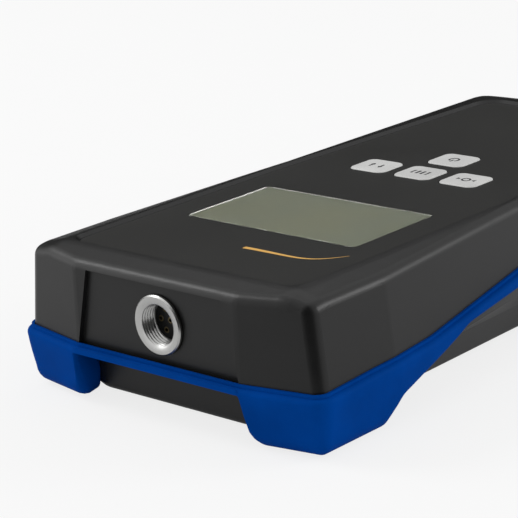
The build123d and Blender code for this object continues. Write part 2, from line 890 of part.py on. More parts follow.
front_line = bay_front + contact_sheet / 2
back_line = bay_back - contact_sheet / 2
with BuildPart() as battery_front_contacts:
    contact_sheet_bar([(-cell_pitch, False)], front_line, 1)
    contact_sheet_bar([(0, True), (cell_pitch, False)], front_line, 1)
    block(
        (-cell_pitch - tab_width / 2, -cell_pitch + tab_width / 2),
        (bay_front, bay_front + contact_sheet),
        (cell_z, board_top - gap),
    )
finish(battery_front_contacts, "battery_front_contacts")

with BuildPart() as battery_rear_contacts:
    contact_sheet_bar([(-cell_pitch, True), (0, False)], back_line, -1)
    contact_sheet_bar([(cell_pitch, True)], back_line, -1)
finish(battery_rear_contacts, "battery_rear_contacts")

with BuildPart() as battery_return_strip:
    with BuildSketch(Plane.YZ.offset(cell_pitch - tab_width / 2)) as strip_side:
        with BuildLine() as run:
            Polyline(
                (back_line, cell_z + contact_half),
                (back_line, bay_top + contact_sheet / 2),
                (return_y + contact_sheet / 2, bay_top + contact_sheet / 2),
                (return_y + contact_sheet / 2, board_top + socket_board_gap),
            )
        trace(run.line, contact_sheet)
    extrude(amount=tab_width)
finish(battery_return_strip, "battery_return_strip")

# Battery door: a plate flush with the back, with side tongues and finger grooves
with BuildPart() as battery_door:
    block((-door_half, door_half), (door_front, end_half), (floor_z, door_top))
    block(
        (-door_half - door_tongue, door_half + door_tongue),
        (door_front + door_lap, end_half - far_radius),
        (door_top - door_tongue_thick, door_top),
    )
    add(lower_block.part, mode=Mode.INTERSECT)
    with Locations((0, door_front + grip_count * wall, floor_z)):
        with GridLocations(1, wall, 1, grip_count):
            Box(bay_half, wall / 2, 2 * grip_groove, mode=Mode.SUBTRACT)
finish(battery_door, "battery_door")
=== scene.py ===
"""Finishes, key marks, threaded socket ring and studio for a handheld field meter."""

import json
import math

import bmesh
import bpy
from bpy.props import FloatProperty, FloatVectorProperty, IntProperty, PointerProperty
from mathutils import Matrix, Vector
from mathutils.geometry import interpolate_bezier


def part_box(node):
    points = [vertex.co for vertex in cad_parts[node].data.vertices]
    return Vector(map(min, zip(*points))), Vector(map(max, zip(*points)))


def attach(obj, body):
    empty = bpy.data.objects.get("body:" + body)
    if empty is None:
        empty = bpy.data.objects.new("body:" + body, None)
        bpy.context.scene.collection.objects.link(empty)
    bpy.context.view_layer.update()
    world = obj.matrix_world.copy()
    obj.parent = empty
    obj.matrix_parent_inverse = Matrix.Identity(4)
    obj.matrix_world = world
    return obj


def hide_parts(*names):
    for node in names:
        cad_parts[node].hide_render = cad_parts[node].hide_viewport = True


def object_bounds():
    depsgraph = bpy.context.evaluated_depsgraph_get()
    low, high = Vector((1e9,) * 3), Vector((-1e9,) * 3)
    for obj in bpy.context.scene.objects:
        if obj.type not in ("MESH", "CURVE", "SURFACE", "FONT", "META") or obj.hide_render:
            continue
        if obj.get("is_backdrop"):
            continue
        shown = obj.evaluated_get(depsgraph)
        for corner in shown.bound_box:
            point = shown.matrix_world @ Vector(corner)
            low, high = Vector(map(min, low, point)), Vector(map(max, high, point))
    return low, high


bl_info = {
    "name": "Field meter finishes",
    "version": (1, 0, 0),
    "blender": (4, 5, 0),
    "location": "View3D > Sidebar > Meter",
    "description": "Finishes, key marks, threaded socket ring and studio for a handheld field meter",
    "category": "Object",
}

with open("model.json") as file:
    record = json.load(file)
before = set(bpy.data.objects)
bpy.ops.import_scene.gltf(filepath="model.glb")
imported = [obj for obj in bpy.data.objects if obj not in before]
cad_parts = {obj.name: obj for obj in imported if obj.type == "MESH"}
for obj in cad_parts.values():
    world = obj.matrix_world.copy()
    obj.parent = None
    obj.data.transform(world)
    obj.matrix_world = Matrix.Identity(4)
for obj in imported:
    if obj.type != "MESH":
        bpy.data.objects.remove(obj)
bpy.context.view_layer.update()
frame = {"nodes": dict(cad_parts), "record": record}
NODES = frame["nodes"]
MM = 0.001


def mount_size(name, dimension):
    """A mount's size in metres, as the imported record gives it."""
    for mount in frame["record"]["mounts"]:
        if mount["name"] == name:
            return mount["dims"][dimension] * MM
    raise RuntimeError(f"the packed record has no mount named {name}")


# Shader maths and materials


class Wire:
    """A node's output that Python expressions can be written with."""

    def __init__(self, bench, socket):
        self.bench = bench
        self.socket = socket

    def join(self, operation, first, second):
        """Adds one Math or Vector Math node for an operator."""
        sides = (first, second)
        if any(isinstance(side, Wire) and side.socket.type == "VECTOR" for side in sides):
            sides = [side if isinstance(side, (Wire, tuple)) else (side,) * 3 for side in sides]
            kind = "ShaderNodeVectorMath"
        else:
            kind = "ShaderNodeMath"
        return self.bench.node(kind, {"operation": operation}, dict(enumerate(sides)))

    def __add__(self, other):
        return self.join("ADD", self, other)

    def __radd__(self, other):
        return self.join("ADD", other, self)

    def __sub__(self, other):
        return self.join("SUBTRACT", self, other)

    def __rsub__(self, other):
        return self.join("SUBTRACT", other, self)

    def __mul__(self, other):
        return self.join("MULTIPLY", self, other)

    def __rmul__(self, other):
        return self.join("MULTIPLY", other, self)

    def __truediv__(self, other):
        return self.join("DIVIDE", self, other)

    def __pow__(self, other):
        return self.join("POWER", self, other)

    def __gt__(self, other):
        return self.join("GREATER_THAN", self, other)

    def __lt__(self, other):
        return self.join("LESS_THAN", self, other)

    def __or__(self, other):
        return self.join("MAXIMUM", self, other)

    def __and__(self, other):
        return self.join("MINIMUM", self, other)

    def __mod__(self, other):
        return self.join("FLOORED_MODULO", self, other)

    def __abs__(self):
        return self.bench.node("ShaderNodeMath", {"operation": "ABSOLUTE"}, {0: self})


class Bench:
    """A node tree to which nodes are added one at a time."""

    def __init__(self, tree):
        self.tree = tree

    def node(self, kind, settings, sockets, output=0):
        """Adds one node: its settings first, then the values or wires of its sockets."""
        made = self.tree.nodes.new(kind)
        for name, value in settings.items():
            if name == "stops":
                self.set_stops(made.color_ramp, value)
            else:
                setattr(made, name, value)
        for name, value in sockets.items():
            if isinstance(value, Wire):
                self.tree.links.new(value.socket, made.inputs[name])
            else:
                made.inputs[name].default_value = value
        return Wire(self, made.outputs[output])

    def set_stops(self, ramp, stops):
        """Gives a ramp its positions, each with a grey value or a colour."""
        while len(ramp.elements) < len(stops):
            ramp.elements.new(1.0)
        for element, (place, tone) in zip(ramp.elements, stops):
            element.position = place
            element.color = (tone, tone, tone, 1) if isinstance(tone, float) else (*tone, 1)

    def place(self):
        """The point on the object, in metres from the frame's origin."""
        return self.node("ShaderNodeTexCoord", {}, {}, "Object")

    def parts(self, vector):
        """The x, y and z of a vector."""
        split = self.node("ShaderNodeSeparateXYZ", {}, {0: vector})
        return [Wire(self, split.socket.node.outputs[i]) for i in range(3)]

    def joined(self, x, y, z):
        """A vector of three values."""
        return self.node("ShaderNodeCombineXYZ", {}, {0: x, 1: y, 2: z})

    def noise(self, size, detail=3.0, rough=0.5, where=None):
        """Cloudy noise whose blobs are about size metres across."""
        sockets = {"Scale": 1 / size, "Detail": detail, "Roughness": rough}
        sockets["Vector"] = where or self.place()
        return self.node("ShaderNodeTexNoise", {}, sockets)

    def cells(self, size, where=None, feature="F1"):
        """Distance to the nearest of scattered points, about size metres apart."""
        sockets = {"Scale": 1 / size, "Vector": where or self.place()}
        return self.node("ShaderNodeTexVoronoi", {"feature": feature}, sockets)

    def ramp(self, value, *stops):
        """A value or colour read off a ramp."""
        return self.node("ShaderNodeValToRGB", {"stops": stops}, {0: value})

    def between(self, value, low, high, to_low=0.0, to_high=1.0):
        """A value mapped from one range to another, and held to its ends."""
        sockets = {1: low, 2: high, 3: to_low, 4: to_high, 0: value}
        return self.node("ShaderNodeMapRange", {}, sockets)

    def mix(self, share, first, second, blend="MIX"):
        """Two colours mixed."""
        settings = {"data_type": "RGBA", "blend_type": blend}
        colours = [side if isinstance(side, Wire) else (*side, 1) for side in (first, second)]
        return self.node("ShaderNodeMix", settings, {0: share, 6: colours[0], 7: colours[1]}, 2)


class Finish(Bench):
    """One material, from its nodes to the shader that they feed."""

    def __init__(self, name, **fixed):
        self.material = bpy.data.materials.new(name)
        self.material.use_nodes = True
        super().__init__(self.material.node_tree)
        self.shader = self.tree.nodes["Principled BSDF"]
        for socket, value in fixed.items():
            self.shader.inputs[socket.replace("_", " ")].default_value = value

    def feed(self, socket, wire):
        """Links a wire to one of the shader's sockets."""
        self.tree.links.new(wire.socket, self.shader.inputs[socket])
        return self

    def relief(self, *heights):
        """Stacks bumps on the surface, each a height and its depth in metres."""
        normal = None
        for height, depth in heights:
            sockets = {"Height": height, "Distance": depth, "Strength": 1.0}
            if normal:
                sockets["Normal"] = normal
            normal = self.node("ShaderNodeBump", {}, sockets)
        return self.feed("Normal", normal)


def shade(colour, factor):
    """A colour made lighter or darker."""
    return tuple(min(1.0, part * factor) for part in colour)


def moulded_plastic(name, colour, gloss=0.36, grain=0.00022, depth=0.000012, level=0.3):
    """Moulded plastic with a fine spark-eroded grain, flow clouds and rubbed patches."""
    finish = Finish(name, **{"Specular_IOR_Level": level, "IOR": 1.5})
    erosion = finish.noise(grain, 2.0, 0.6)
    clouds = finish.noise(0.018, 3.0)
    rubbed = finish.between(finish.noise(0.006, 4.0, 0.7), 0.56, 0.74)
    tone = finish.mix(finish.between(clouds, 0.35, 0.65), shade(colour, 0.9), shade(colour, 1.1))
    speck = finish.mix(finish.between(erosion, 0.5, 0.7) * 0.35, tone, shade(colour, 1.35))
    finish.feed("Base Color", speck)
    finish.feed("Roughness", gloss + (erosion - 0.5) * 0.18 + (clouds - 0.5) * 0.1 - rubbed * 0.05)
    return finish.relief((clouds, 0.00001), (erosion, depth))


def soft_rubber(name, colour, gloss=0.5, level=0.25, sheen=(0.5, 0.5, 0.5)):
    """Soft moulded rubber: a closed skin, pin-head grain and a faint bloom."""
    fixed = {"Specular_IOR_Level": level, "Sheen_Weight": 0.04, "Sheen_Tint": (*sheen, 1.0)}
    finish = Finish(name, **fixed)
    skin = finish.cells(0.00032)
    clouds = finish.noise(0.012, 3.0)
    bloom = finish.between(finish.noise(0.0035, 5.0, 0.65), 0.5, 0.78)
    tone = finish.mix(finish.between(clouds, 0.35, 0.65), shade(colour, 0.92), shade(colour, 1.08))
    dusty = finish.mix(bloom * 0.1, tone, shade(colour, 1.5))
    finish.feed("Base Color", dusty)
    finish.feed("Roughness", gloss + (clouds - 0.5) * 0.12 + bloom * 0.08)
    return finish.relief((clouds, 0.000012), (skin, 0.00001))


def printed_film(name, colour):
    """Matt printed film with a velvet texture and a few hairlines from wiping."""
    finish = Finish(name, **{"Specular_IOR_Level": 0.3})
    velvet = finish.noise(0.00016, 2.0, 0.55)
    clouds = finish.noise(0.03, 2.0)
    x, y, z = finish.parts(finish.place())
    drawn = finish.joined(x * 0.05 + y * 0.03, y, z)
    hairline = finish.between(finish.noise(0.0009, 3.0, 0.7, drawn), 0.66, 0.72)
    tone = finish.mix(finish.between(clouds, 0.3, 0.7), shade(colour, 0.93), shade(colour, 1.07))
    finish.feed("Base Color", finish.mix(hairline * 0.12, tone, shade(colour, 1.6)))
    finish.feed("Roughness", 0.5 + (velvet - 0.5) * 0.12 + (clouds - 0.5) * 0.08)
    return finish.relief((velvet, 0.000006))


def clear_pane(name, tint):
    """A clear pane with a wiped, faintly wavy face."""
    fixed = {"Transmission_Weight": 1.0, "IOR": 1.46, "Specular_IOR_Level": 0.5}
    finish = Finish(name, **fixed)
    wipe = finish.noise(0.012, 3.0)
    dust = finish.between(finish.noise(0.0007, 2.0, 0.7), 0.66, 0.74)
    finish.feed("Base Color", finish.mix(dust * 0.06, tint, shade(tint, 0.8)))
    finish.feed("Roughness", 0.03 + finish.between(wipe, 0.4, 0.7) * 0.04 + dust * 0.08)
    return finish.relief((wipe, 0.000004))


def liquid_crystal(name, colour):
    """A blank display: a polariser with a faint warm drift and pixel-row grain."""
    finish = Finish(name, **{"Specular_IOR_Level": 0.2})
    drift = finish.noise(0.022, 2.0)
    x, y, z = finish.parts(finish.place())
    rows = finish.between(abs((y / 0.0006) % 1.0 - 0.5), 0.42, 0.5)
    warm = (colour[0] * 1.05, colour[1] * 1.02, colour[2] * 0.95)
    tone = finish.mix(finish.between(drift, 0.35, 0.65), colour, warm)
    finish.feed("Base Color", finish.mix(rows * 0.05, tone, shade(colour, 0.7)))
    finish.feed("Roughness", 0.42 + (drift - 0.5) * 0.1)
    return finish.relief((rows, 0.000003))


def turned_metal(name, colour, centre, gloss=0.3):
    """Turned and plated metal, with fine rings round the socket's own axis."""
    finish = Finish(name, **{"Metallic": 1.0})
    x, y, z = finish.parts(finish.place())
    across, up = x - centre.x, z - centre.z
    reach = (across * across + up * up) ** 0.5
    rings = finish.noise(0.00009, 2.0, 0.6, finish.joined(reach, y * 0.4, 0.0))
    haze = finish.noise(0.003, 4.0, 0.6)
    finish.feed("Base Color", finish.mix(finish.between(haze, 0.3, 0.7), shade(colour, 0.93), colour))
    finish.feed("Roughness", gloss + (rings - 0.5) * 0.12 + (haze - 0.5) * 0.1)
    return finish.relief((rings, 0.000008))


def plated_metal(name, colour, gloss=0.28, grain=0.0004):
    """Sheet or bar metal with a thin plating, rolling marks and handling haze."""
    finish = Finish(name, **{"Metallic": 1.0})
    x, y, z = finish.parts(finish.place())
    rolled = finish.noise(grain, 3.0, 0.6, finish.joined(x, y * 0.12, z))
    haze = finish.noise(0.0025, 4.0, 0.6)
    finish.feed("Base Color", finish.mix(finish.between(haze, 0.3, 0.7), shade(colour, 0.88), colour))
    finish.feed("Roughness", gloss + (rolled - 0.5) * 0.16 + (haze - 0.5) * 0.12)
    return finish.relief((rolled, 0.000006))


def circuit_board(name, mask, copper):
    """Solder mask over tracks, with tinned pads on a fixed grid."""
    finish = Finish(name, **{"Specular_IOR_Level": 0.5})
    x, y, z = finish.parts(finish.place())
    bricks = {"Scale": 1 / 0.006, "Mortar Size": 0.035, "Mortar Smooth": 0.1, "Bias": 0.0}
    swirl = finish.noise(0.02, 0.0)
    bricks["Vector"] = finish.joined(x + (swirl - 0.5) * 0.004, y + (swirl - 0.5) * 0.004, z)
    tracks = finish.node("ShaderNodeTexBrick", {}, bricks, "Fac")
    pads = finish.cells(0.0042, finish.joined(x, y, 0.0)) < 0.11
    weave = finish.noise(0.0005, 2.0)
    green = finish.mix(finish.between(weave, 0.3, 0.7), shade(mask, 0.9), mask)
    routed = finish.mix(tracks * 0.8, green, shade(mask, 1.9))
    finish.feed("Base Color", finish.mix(pads, routed, copper))
    finish.feed("Metallic", pads * 0.9)
    finish.feed("Roughness", 0.32 + weave * 0.1 - pads * 0.05)
    return finish.relief((tracks | pads, 0.00003))


def moulded_chip(name, colour, box):
    """Filled black epoxy with a moulded dot and a pale laser dash on top."""
    finish = Finish(name, **{"Specular_IOR_Level": 0.4})
    low, high = box
    x, y, z = finish.parts(finish.place())
    sand = finish.noise(0.00018, 3.0, 0.7)
    along, across = x - (low.x + 0.0016), y - (low.y + 0.0016)
    dot = ((along * along + across * across) ** 0.5) < 0.0006
    middle = abs(y - (low.y + high.y) / 2) < 0.0004
    dash = middle & (abs(x - (low.x + high.x) / 2) < 0.0022)
    finish.feed("Base Color", finish.mix(dash * 0.5, colour, (0.35, 0.35, 0.35)))
    finish.feed("Roughness", 0.5 + (sand - 0.5) * 0.25 - dot * 0.25)
    return finish.relief((sand, 0.00001), (1 - dot, 0.00005))


def sleeved_can(name, metal, sleeve, top):
    """Metal cans in a shrunk sleeve, with a bare scored top."""
    finish = Finish(name, **{"Specular_IOR_Level": 0.5})
    x, y, z = finish.parts(finish.place())
    haze = finish.noise(0.002, 4.0)
    bare = z < (top + 0.0002)
    finish.feed("Base Color", finish.mix(bare, sleeve, metal))
    finish.feed("Metallic", bare)
    finish.feed("Roughness", 0.25 + (haze - 0.5) * 0.15 + bare * 0.08)
    return finish.relief((haze, 0.00001))


def wrapped_cell(name, jacket, metal, box):
    """A round cell: a printed jacket with a pale band, and bare plated ends."""
    finish = Finish(name, **{"Specular_IOR_Level": 0.5})
    low, high = box
    x, y, z = finish.parts(finish.place())
    ends = (y < (low.y + 0.0016)) | (y > (high.y - 0.0022))
    band = (y > (low.y + 0.012)) & (y < (low.y + 0.0165))
    fleck = finish.noise(0.0015, 3.0)
    tone = finish.mix(finish.between(fleck, 0.3, 0.7), shade(jacket, 0.9), shade(jacket, 1.1))
    printed = finish.mix(band, tone, (0.62, 0.4, 0.1))
    finish.feed("Base Color", finish.mix(ends, printed, metal))
    finish.feed("Metallic", ends | band * 0.6)
    finish.feed("Roughness", 0.28 + (fleck - 0.5) * 0.12)
    return finish.relief((fleck, 0.000012), (1 - ends, 0.00006))


def printing_ink(name, colour):
    """Screen-printed ink: dense, a little uneven and slightly pitted."""
    finish = Finish(name, **{"Specular_IOR_Level": 0.3})
    pits = finish.noise(0.0002, 2.0)
    finish.feed("Base Color", finish.mix(finish.between(pits, 0.35, 0.7), colour, shade(colour, 1.25)))
    finish.feed("Roughness", 0.5 + (pits - 0.5) * 0.2)
    return finish.relief((pits, 0.000004))


def dress(finish, *names):
    """Puts a finish on CAD nodes, whose shape stays as it is."""
    for name in names:
        slots = NODES[name].material_slots
        if not slots:
            NODES[name].data.materials.append(finish.material)
        for slot in slots:
            slot.material = finish.material


# Meshes


def piece_of(name, shape, finish, body, smooth=False):
    """Turns a finished bmesh into a piece that rides on a body."""
    mesh = bpy.data.meshes.new(name)
    bmesh.ops.recalc_face_normals(shape, faces=shape.faces)
    shape.to_mesh(mesh)
    shape.free()
    for face in mesh.polygons:
        face.use_smooth = smooth
    mesh.materials.append(finish.material)
    piece = bpy.data.objects.new(name, mesh)
    bpy.context.scene.collection.objects.link(piece)
    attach(piece, body)
    return piece


def rings_of(rows, closed=True):
    """A bmesh from rows of points, each row joined to the next and the last to the first."""
    shape = bmesh.new()
    made = [[shape.verts.new(point) for point in row] for row in rows]
    for here, there in zip(made, made[1:] + made[:1] if closed else made[1:]):
        for k in range(len(here)):
            after = (k + 1) % len(here)
            shape.faces.new((here[k], here[after], there[after], there[k]))
    return shape, made


def eased(points, radii, share=0.25, ring=False):
    """Points along a run of straight lines with round corners, share millimetres apart."""
    last = len(points) - 1
    legs = []
    for k, (spot, radius) in enumerate(zip(points, radii)):
        spot = Vector(spot)
        if not radius or (not ring and k in (0, last)):
            legs.append([spot])
            continue
        before = (Vector(points[k - 1]) - spot).normalized()
        after = (Vector(points[(k + 1) % len(points)]) - spot).normalized()
        half = before.angle(after) / 2
        heart = spot + (before + after).normalized() * radius / math.sin(half)
        sweep = math.pi - 2 * half
        first = spot + before * radius / math.tan(half) - heart
        side = 1 if before.x * after.y - before.y * after.x < 0 else -1
        count = max(2, round(sweep * radius / share), round(math.degrees(sweep) / 6))
        turns = [Matrix.Rotation(side * sweep * step / count, 2) for step in range(count + 1)]
        legs.append([heart + turn @ first for turn in turns])
    return legs


def level_at(run, place):
    """The second value of a run of points where the first is place."""
    for here, there in zip(run, run[1:]):
        if min(here.x, there.x) <= place <= max(here.x, there.x) and here.x != there.x:
            return here.y + (there.y - here.y) * (place - here.x) / (there.x - here.x)
    return run[-1].y


def bar(x, y, width, height):
    """The outline of an upright bar with its middle at x, y."""
    across, up = width / 2, height / 2
    return [(x - across, y - up), (x + across, y - up), (x + across, y + up), (x - across, y + up)]


def arrow_head(x, y, width, height):
    """The outline of an arrow head whose flat side is at y and whose tip is height away."""
    return [(x - width / 2, y), (x + width / 2, y), (x, y + height)]


def side_head(x, y, width, height):
    """The outline of an arrow head that points sideways, width long."""
    return [(x, y - height / 2), (x, y + height / 2), (x + width, y)]


def arc_strip(x, y, radius, width, start, end, steps):
    """The outlines of the short pieces that make up an arc, angles in degrees."""
    outlines = []
    for step in range(steps):
        turns = [math.radians(start + (end - start) * (step + k) / steps) for k in (0, 1)]
        rim, bore = [
            [(x + reach * math.cos(turn), y + reach * math.sin(turn)) for turn in turns]
            for reach in (radius + width / 2, radius - width / 2)
        ]
        outlines.append([rim[0], rim[1], bore[1], bore[0]])
    return outlines


def printed_mark(name, outlines, centre, level, thickness, finish, body):
    """Lays outlines in millimetres on a level as a thin print, read from the far end."""
    shape = bmesh.new()
    for outline in outlines:
        corners = [
            shape.verts.new((centre.x - x * MM, centre.y - y * MM, level)) for x, y in outline
        ]
        shape.faces.new(corners)
    bmesh.ops.remove_doubles(shape, verts=shape.verts, dist=1e-7)
    grown = bmesh.ops.extrude_face_region(shape, geom=shape.faces[:])
    raised = [part for part in grown["geom"] if isinstance(part, bmesh.types.BMVert)]
    bmesh.ops.translate(shape, verts=raised, vec=(0, 0, thickness))
    return piece_of(name, shape, finish, body)


def middle(name):
    """The middle of a CAD node's box."""
    low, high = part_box(name)
    return (low + high) / 2


# The soft ring's lines in millimetres: place along the case or across it, and height

RING_TOP = [(-165, 9.6), (-62, 14.3), (-42, 14.8), (-4, 19.3), (4, 19.3), (42, 14.8), (165, 13.6)]
RING_TOP_ROUNDS = [0, 40, 40, 40, 40, 40, 0]
SIDE_ARCH_HALF = [(-58.6, -0.5), (-53.2, 5.2), (-29.5, 13.9), (-4, 16.2)]
SIDE_ARCH_ROUNDS = [0, 6, 14, 40, 40, 14, 6, 0]
FOOT_REACH = 58.6
NEAR_ARCH = [(0, 12.0), (23.2, 12.0), (24.6, 0), (36, 0)]
FAR_ARCH = [(0, 12.2), (24.0, 12.2), (28.0, 3.6), (31.4, 0), (36, 0)]
FAR_ARCH_ROUNDS = [0, 0.9, 3, 2, 0]
ARCH_ROUND = 0.9
ARCH_END = 36
DOOR_WAY = 28
WIDEST_LEVEL = 12
DRAW_POWER = 1.35
END_FACE = 81
SIDE_FACE = 40.9
LINE_STEP = 0.5
RING_ROWS = 23
SHOULDER_STEPS = 5
SOLE_STEPS = 6
# Level, set-out at the sides and ends, waist and corner radius of the ring's back
BACK_LEVELS = (
    (1.2, -10.9, -6.2, 3.5), (8.6, -6.9, -6.2, 3.0), (11.4, -0.1, -0.1, -2.8),
    (16.5, -0.4, -0.1, 0), (24.0, -1.2, -0.3, 0),
)
BACK_CORNER = 3


# Settings


class MeterColours(bpy.types.PropertyGroup):
    """The colours that a user would change."""

    case: FloatVectorProperty(
        name="Case", description="Black moulded case", subtype="COLOR", default=(0.009, 0.009, 0.009)
    )
    bumper: FloatVectorProperty(
        name="Bumper", description="Soft ring and feet", subtype="COLOR", default=(0.0, 0.05, 0.28)
    )
    overlay: FloatVectorProperty(
        name="Overlay", description="Printed front film", subtype="COLOR", default=(0.014, 0.014, 0.013)
    )
    display: FloatVectorProperty(
        name="Display", description="Blank display", subtype="COLOR", default=(0.27, 0.285, 0.23)
    )
    keys: FloatVectorProperty(
        name="Keys", description="Light keys", subtype="COLOR", default=(0.66, 0.66, 0.65)
    )
    ink: FloatVectorProperty(
        name="Ink", description="Marks on the keys", subtype="COLOR", default=(0.025, 0.025, 0.028)
    )
    accent: FloatVectorProperty(
        name="Accent line", description="Printed line below the display", subtype="COLOR",
        default=(0.7, 0.4, 0.1),
    )
    socket: FloatVectorProperty(
        name="Socket", description="Turned metal ring", subtype="COLOR", default=(0.5, 0.5, 0.49)
    )


class MeterMarks(bpy.types.PropertyGroup):
    """The sizes of what is printed on the front."""

    stroke: FloatProperty(
        name="Stroke", description="Width of the marks' lines", subtype="DISTANCE", default=0.00045
    )
    thickness: FloatProperty(
        name="Ink thickness", description="Height of a print", subtype="DISTANCE", default=0.00002
    )
    accent_start: FloatVectorProperty(
        name="Accent start", description="Thick end of the accent line", subtype="TRANSLATION", size=2,
        default=(0.0037, -0.0569),
    )
    accent_lead: FloatVectorProperty(
        name="Accent lead", description="How far the line runs straight", subtype="TRANSLATION", size=2,
        default=(0.0179, -0.0562),
    )
    accent_turn: FloatVectorProperty(
        name="Accent turn", description="Where the line bends", subtype="TRANSLATION", size=2,
        default=(0.0208, -0.0590),
    )
    accent_end: FloatVectorProperty(
        name="Accent end", description="Thin end of the accent line", subtype="TRANSLATION", size=2,
        default=(0.0264, -0.0504),
    )
    accent_width: FloatProperty(
        name="Accent width", description="Thick end's width", subtype="DISTANCE", default=0.0012
    )
    pane_radius: FloatProperty(
        name="Pane corner", description="Corner radius of the pane", subtype="DISTANCE", default=0.001
    )
    pane_ease: FloatProperty(
        name="Pane edge", description="Eased edge of the pane", subtype="DISTANCE", default=0.00006
    )
    pane_air: FloatProperty(
        name="Pane air", description="Air between the pane and the display", subtype="DISTANCE",
        default=0.00005,
    )


class RingSizes(bpy.types.PropertyGroup):
    """The sizes of the soft ring and its feet."""

    lip: FloatProperty(
        name="Lip", description="Thickness of the lip against the case", subtype="DISTANCE", default=0.0005
    )
    lip_drop: FloatProperty(
        name="Lip height", description="Height of the lip above the shoulder", subtype="DISTANCE",
        default=0.0007,
    )
    shoulder: FloatProperty(
        name="Shoulder", description="Radius of the round shoulder", subtype="DISTANCE", default=0.0012
    )
    lean: FloatProperty(name="Lean", description="How fast the feet draw in", default=0.075)
    sole_round: FloatProperty(
        name="Sole radius", description="Round between the feet's sides and soles", subtype="DISTANCE",
        default=0.004,
    )
    foot_round: FloatProperty(
        name="Foot corner", description="Round at the feet's inner corners", subtype="DISTANCE",
        default=0.003,
    )


class SocketSizes(bpy.types.PropertyGroup):
    """The sizes of the threaded socket ring."""

    bore: FloatProperty(
        name="Bore", description="Radius inside the thread's crests", subtype="DISTANCE",
        default=mount_size("probe_socket_thread", "r_mm"),
    )
    flange: FloatProperty(
        name="Flange depth", description="Thickness of the flange", subtype="DISTANCE", default=0.0008
    )
    body: FloatProperty(
        name="Body", description="Radius of the body behind the flange", subtype="DISTANCE", default=0.0054
    )
    mouth: FloatProperty(
        name="Mouth depth", description="Depth of the threaded mouth", subtype="DISTANCE", default=0.004
    )
    seat: FloatProperty(
        name="Insert seat", description="Radius that the insert sits in", subtype="DISTANCE",
        default=0.00415,
    )
    seat_end: FloatProperty(
        name="Seat end", description="Distance of the seat's shoulder from the back", subtype="DISTANCE",
        default=0.0008,
    )
    shoulder: FloatProperty(
        name="Shoulder", description="Bore behind the insert", subtype="DISTANCE", default=0.0039
    )
    chamfer: FloatProperty(
        name="Chamfer", description="Chamfer on the flange's edges", subtype="DISTANCE", default=0.0003
    )
    pitch: FloatProperty(
        name="Pitch", description="Thread pitch", subtype="DISTANCE", default=0.00075
    )
    groove: FloatProperty(
        name="Groove", description="Depth of the thread's grooves", subtype="DISTANCE", default=0.00036
    )
    segments: IntProperty(name="Segments", description="Facets round the ring", default=96, min=24)


class StudioSettings(bpy.types.PropertyGroup):
    """Camera and light."""

    camera_place: FloatVectorProperty(
        name="Camera", description="Where the camera stands", subtype="TRANSLATION",
        default=(0.2958, -0.3674, 0.1604), precision=4,
    )
    azimuth: FloatProperty(
        name="Azimuth", description="Turn of the view", subtype="ANGLE", default=math.radians(42.86)
    )
    elevation: FloatProperty(
        name="Elevation", description="Height of the view", subtype="ANGLE", default=math.radians(17.12)
    )
    roll: FloatProperty(
        name="Roll", description="Tilt of the frame", subtype="ANGLE", default=math.radians(-3.63)
    )
    lens: FloatProperty(
        name="Lens", description="Focal length in millimetres on a 36 mm sensor", default=150.6
    )
    air: FloatProperty(name="Air", description="Light that comes from everywhere", default=0.62)


# The pieces


class METER_OT_housing(bpy.types.Operator):
    """Gives the two shells and the battery door their moulded finish"""

    bl_idname = "meter.housing"
    bl_label = "Housing"

    def execute(self, context):
        colours = context.scene.meter_colours
        shells = moulded_plastic("case_black", colours.case)
        dress(shells, "upper_shell", "lower_shell", "battery_door")
        return {"FINISHED"}


